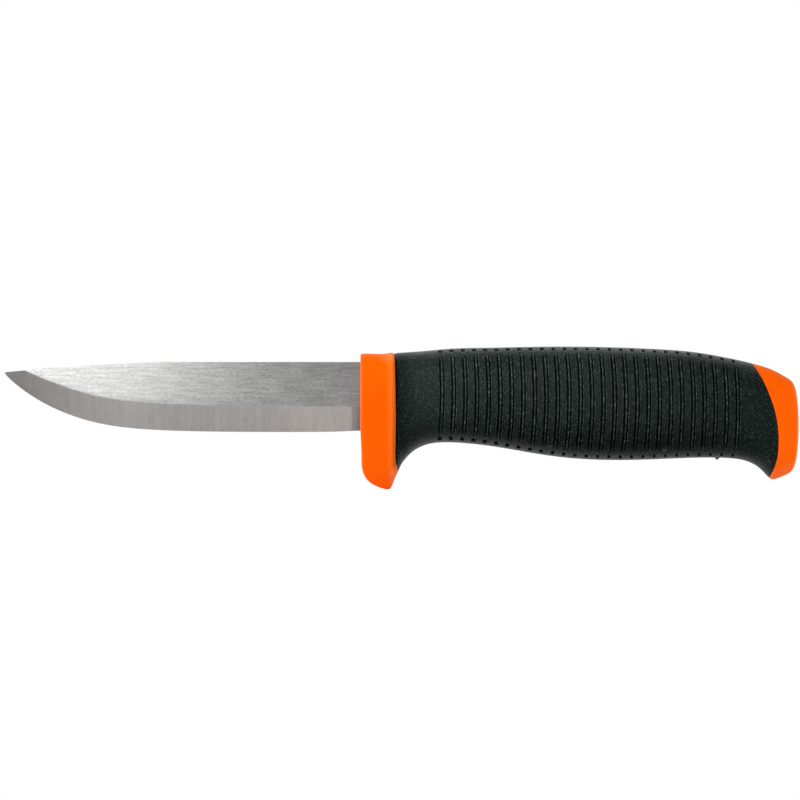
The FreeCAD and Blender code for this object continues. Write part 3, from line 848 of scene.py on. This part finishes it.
def build_grip():
    angles = loop_angles()
    rows = []
    for q, blend, inset, slot, cut in grip_rings():
        x, y, z = handle_ring(q, blend, angles)
        depth = np.full(len(angles), float(inset))
        if inset <= GROOVE and x[0] < 12:
            fade = smooth(0.4, 3.0, top_of(x) - z) * smooth(0.4, 3.0, z - bottom_of(x))
            depth = np.minimum(depth, GROOVE_SHALLOW + (GROOVE - GROOVE_SHALLOW) * fade)
        if slot >= 0:
            depth += slot_depth(x, y, z, slot, cut)
        below = z < section(x)[1]
        depth -= NUB_HEIGHT * below * (1 - smooth(0.22, 0.66, np.hypot(x - NUB_X, y)))
        rows.append(sunk_ring(x, y, z, depth))
    obj = mesh_from_grid("grip_rubber_shell", np.array(rows))
    face_outward(obj)
    obj.data.materials.append(RUBBER)
    register(obj, "grip_sleeve")


# ------------------------------------------------------------------ end cap
CAP_CENTRE = np.array([105.0, 0.0, -7.0])      # rays to the surface start here
CAP_REAR_MID = np.array([114.6, 0.0, -7.5])    # the rear face's rings shrink towards this
CAP_REAR_BOW = 0.0045                          # the rear face falls away by this times y^2
# rings at the seam: (mm past it, inset)
CAP_SEAM_RINGS = ((0.0, 2.4), (0.0, 0.9), (0.0, 0.26), (0.015, 0.15), (0.06, 0.07), (0.15, 0.02))
# side rings by share of the way from seam to rim, rear rings by share of the rim's size
CAP_SIDE_RINGS = (0.04, 0.12, 0.22, 0.33, 0.44, 0.54, 0.63, 0.71, 0.78, 0.84, 0.89, 0.93,
                  0.965, 1.0)
CAP_REAR_RINGS = (0.97, 0.935, 0.89, 0.84, 0.77, 0.68, 0.57, 0.45, 0.32, 0.18, 0.07)


def build_cap():
    outline = np.vstack([[(80.0, 14.0), (104.0, 14.0)], chain(CAP_REAR, 0.25),
                         [(104.0, -26.0), (80.0, -26.0)]])
    side = Field(outline, (95, -27), (122, 15))

    def field(x, y, z):
        radius = np.hypot(y, z - section(x)[1])
        lateral = radius * (1 - 1 / np.maximum(section_ratio(x, y, z), 1e-3))
        rounding = 0.72 + 1.5 * smooth(5.0, 0.5, z) * smooth(-17.4, -14.0, z)
        return smooth_max(lateral, side(x, z) + CAP_REAR_BOW * y * y, rounding)

    angles = loop_angles()[::2]
    seam_x = handle_ring(LAST_LINE, 1.0, angles)[0]
    seam_rows = []
    for past, inset in CAP_SEAM_RINGS:
        x = seam_x + past
        y, z = section_point(x, angles)
        seam_rows.append(sunk_ring(x, y, z, np.full(len(angles), inset)))
    outer_rows = []
    for share in CAP_SIDE_RINGS:
        x = seam_x + 0.2
        for _ in range(14):
            _, z = section_point(x, angles)
            reach = np.maximum(rim_of(z) - seam_of(z), 1.2)
            x = 0.6 * x + 0.4 * (seam_of(z) + share * reach)
        outer_rows.append(np.stack([x, *section_point(x, angles)], -1))
    rim = outer_rows[-1]
    outer_rows += [CAP_REAR_MID + share * (rim - CAP_REAR_MID) for share in CAP_REAR_RINGS]
    outer = np.array(outer_rows)
    outer = shoot(field, CAP_CENTRE, outer.reshape(-1, 3)).reshape(outer.shape)
    tip = shoot(field, CAP_CENTRE, CAP_REAR_MID[None])[0]
    obj = mesh_from_grid("end_cap_shell", np.concatenate([seam_rows, outer]), tip_last=tip)
    face_outward(obj)
    obj.data.materials.append(ORANGE_CAP)
    register(obj, "pommel_cap")


build_blade()
build_guard()
build_grip()
build_cap()

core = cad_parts["tang_core"]
core.data.materials.clear()
core.data.materials.append(CORE)

# ------------------------------------------------------------------ floor
FLOOR_HALF, FLOOR_CELLS = 4.0, 24        # metres; cells along each side
# brightness of the floor as the knife sees it: behind the knife, then before it, by x
FLOOR_BACK, BACK_GLOW = 0.90, 0.55
FLOOR_FRONT_HANDLE = 0.06
# (level, x in metres where it starts to take over, x where it has)
FLOOR_FRONT = ((0.64, 0.026, 0.008),     # guard
               (0.46, -0.006, -0.030),   # blade
               (0.9, 0.092, 0.106),      # end cap
               (0.25, -0.068, -0.100))   # blade tip
CAMERA_GLOW = 0.14                       # light added to the floor for the camera


def floor_material():
    """Pale floor: plain to the camera, a shaped bounce card to the knife."""
    material, k = new_material("floor_pale")
    camera_ray = k.node("ShaderNodeLightPath").outputs["Is Camera Ray"]
    fleck = k.noise(k.place(), 300, detail=2.0, rough=0.5)
    plain = k.mix(k.times(fleck, 0.02), (0.93, 0.93, 0.93, 1), (0.9, 0.9, 0.9, 1))

    xyz = k.split(k.node("ShaderNodeTexCoord").outputs["Object"])
    back = k.smoothstep(xyz[1], -0.010, 0.004)
    card = grey(FLOOR_FRONT_HANDLE)
    for level, start, end in FLOOR_FRONT:
        card = k.mix(k.smoothstep(xyz[0], start, end), card, grey(level))
    card = k.mix(back, card, grey(FLOOR_BACK))
    diffuse = k.node("ShaderNodeBsdfDiffuse", {0: k.mix(camera_ray, card, plain)}).outputs[0]
    glow = k.plus(k.times(k.times(back, BACK_GLOW), k.minus(1.0, camera_ray)),
                  k.times(camera_ray, CAMERA_GLOW))
    lit = k.node("ShaderNodeEmission", {1: glow}).outputs[0]
    body = k.node("ShaderNodeAddShader", {0: diffuse, 1: lit}).outputs[0]

    # at a very flat view the camera sees pure white
    incoming = k.split(k.node("ShaderNodeNewGeometry").outputs["Incoming"])
    steep = k.smoothstep(k.math("ABSOLUTE", incoming[2]), 0.008, 0.04)
    white = k.node("ShaderNodeEmission", {0: grey(1)}).outputs[0]
    k.finish(k.mix_shader(k.times(camera_ray, k.minus(1.0, steep)), body, white))
    return material


def build_floor():
    floor_z = float(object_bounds()[0][2])
    n, half = FLOOR_CELLS, FLOOR_HALF
    verts = [(-half + 2 * half * i / n, -half + 2 * half * j / n, floor_z)
             for i in range(n + 1) for j in range(n + 1)]
    faces = []
    for i in range(n):
        for j in range(n):
            a = i * (n + 1) + j
            faces.append((a, a + n + 1, a + n + 2, a + 1))
    mesh = bpy.data.meshes.new("floor")
    mesh.from_pydata(verts, [], faces)
    mesh.update()
    obj = link_object("floor", mesh)
    mesh.materials.append(floor_material())


# ------------------------------------------------------------------ light
KEY_X, KEY_Y, KEY_Z = -0.134, -0.19, 0.115     # metres; it shines along +Y
KEY_WIDTH, KEY_HEIGHT, KEY_POWER = 0.172, 0.20, 0.468


def build_key_light():
    light = bpy.data.lights.new("key_left", "AREA")
    light.energy = KEY_POWER
    light.shape = "RECTANGLE"
    light.size = KEY_WIDTH
    light.size_y = KEY_HEIGHT
    obj = bpy.data.objects.new("key_left", light)
    place = (KEY_X, KEY_Y, KEY_Z)
    obj.location = place
    aim = Vector((KEY_X, 0, KEY_Z)) - Vector(place)
    obj.rotation_euler = aim.to_track_quat("-Z", "Y").to_euler()
    bpy.context.scene.collection.objects.link(obj)
    obj.visible_camera = False


# sky brightness round the X axis: (degrees from the front horizon at -Y, up over the top,
# to the back at +Y; radiance), in the middle and towards the -X and +X sides
SKY_CENTRE = [(-180, 0.6), (-118, 0.6), (-95, 0.08), (-60, 0.02), (4, 0.03), (12, 0.42),
              (22, 0.40), (34, 0.08), (48, 0.03), (104, 0.05), (124, 1.6), (150, 1.8),
              (174, 2.2), (180, 1.6)]
SKY_LEFT = [(-180, 0.3), (-10, 0.3), (6, 6.8), (72, 6.8), (95, 1.2), (180, 0.6)]
SKY_RIGHT = [(-180, 0.3), (-10, 0.3), (6, 4.0), (72, 4.0), (95, 1.2), (180, 0.6)]
SKY_STRENGTH = 1.0


def sky_band(k, turn, band):
    top = max(value for _, value in band)
    stops = [((degrees + 180.0) / 360.0, value / top) for degrees, value in band]
    return k.times(k.ramp(turn, *stops, interpolation="EASE"), top)


def build_world():
    """Studio sky that lights the knife; the camera sees plain white."""
    world = bpy.data.worlds.new("studio")
    bpy.context.scene.world = world
    world.use_nodes = True
    k = Nodes(world.node_tree, "ShaderNodeOutputWorld")
    x, y, z = k.split(k.node("ShaderNodeTexCoord").outputs["Generated"])
    angle = k.math("ARCTAN2", z, k.times(y, -1.0))
    turn = k.plus(k.math("DIVIDE", angle, 2 * math.pi), 0.5)
    # the side bands start nearer the middle at the back
    back = k.smoothstep(y, 0.15, 0.60)
    side = k.smoothstep(k.math("ABSOLUTE", x), k.minus(0.50, k.times(back, 0.36)),
                        k.minus(0.88, k.times(back, 0.44)))
    left = k.smoothstep(x, 0.2, -0.2)
    centre_sky, left_sky, right_sky = [sky_band(k, turn, band)
                                       for band in (SKY_CENTRE, SKY_LEFT, SKY_RIGHT)]
    side_sky = k.plus(k.times(left_sky, left), k.times(right_sky, k.minus(1.0, left)))
    sky = k.plus(k.times(centre_sky, k.minus(1.0, side)), k.times(side_sky, side))
    plain = k.node("ShaderNodeBackground", {0: grey(1)}).outputs[0]
    studio = k.node("ShaderNodeBackground", {0: grey(1), 1: k.times(sky, SKY_STRENGTH)})
    camera_ray = k.node("ShaderNodeLightPath").outputs["Is Camera Ray"]
    k.finish(k.mix_shader(camera_ray, studio.outputs[0], plain))


# ------------------------------------------------------------------ camera
VIEW_WIDTH = 209.6                       # mm seen across the picture at the knife
VIEW_X, VIEW_Z = 10.375, -0.786          # mm, middle of the view
LENS, SENSOR = 1000.0, 36.0              # a very long lens, so the view is nearly flat


def build_camera():
    data = bpy.data.cameras.new("camera")
    data.lens = LENS
    data.sensor_width = SENSOR
    data.clip_start = 0.5
    data.clip_end = 40.0
    obj = link_object("camera", data)
    distance = VIEW_WIDTH * LENS / SENSOR
    obj.location = (VIEW_X * MM, -distance * MM, VIEW_Z * MM)
    obj.rotation_euler = (math.pi / 2, 0, 0)
    bpy.context.scene.camera = obj


build_floor()
build_key_light()
build_world()
bpy.context.scene.view_settings.view_transform = "Standard"
bpy.context.scene.view_settings.look = "None"
build_camera()
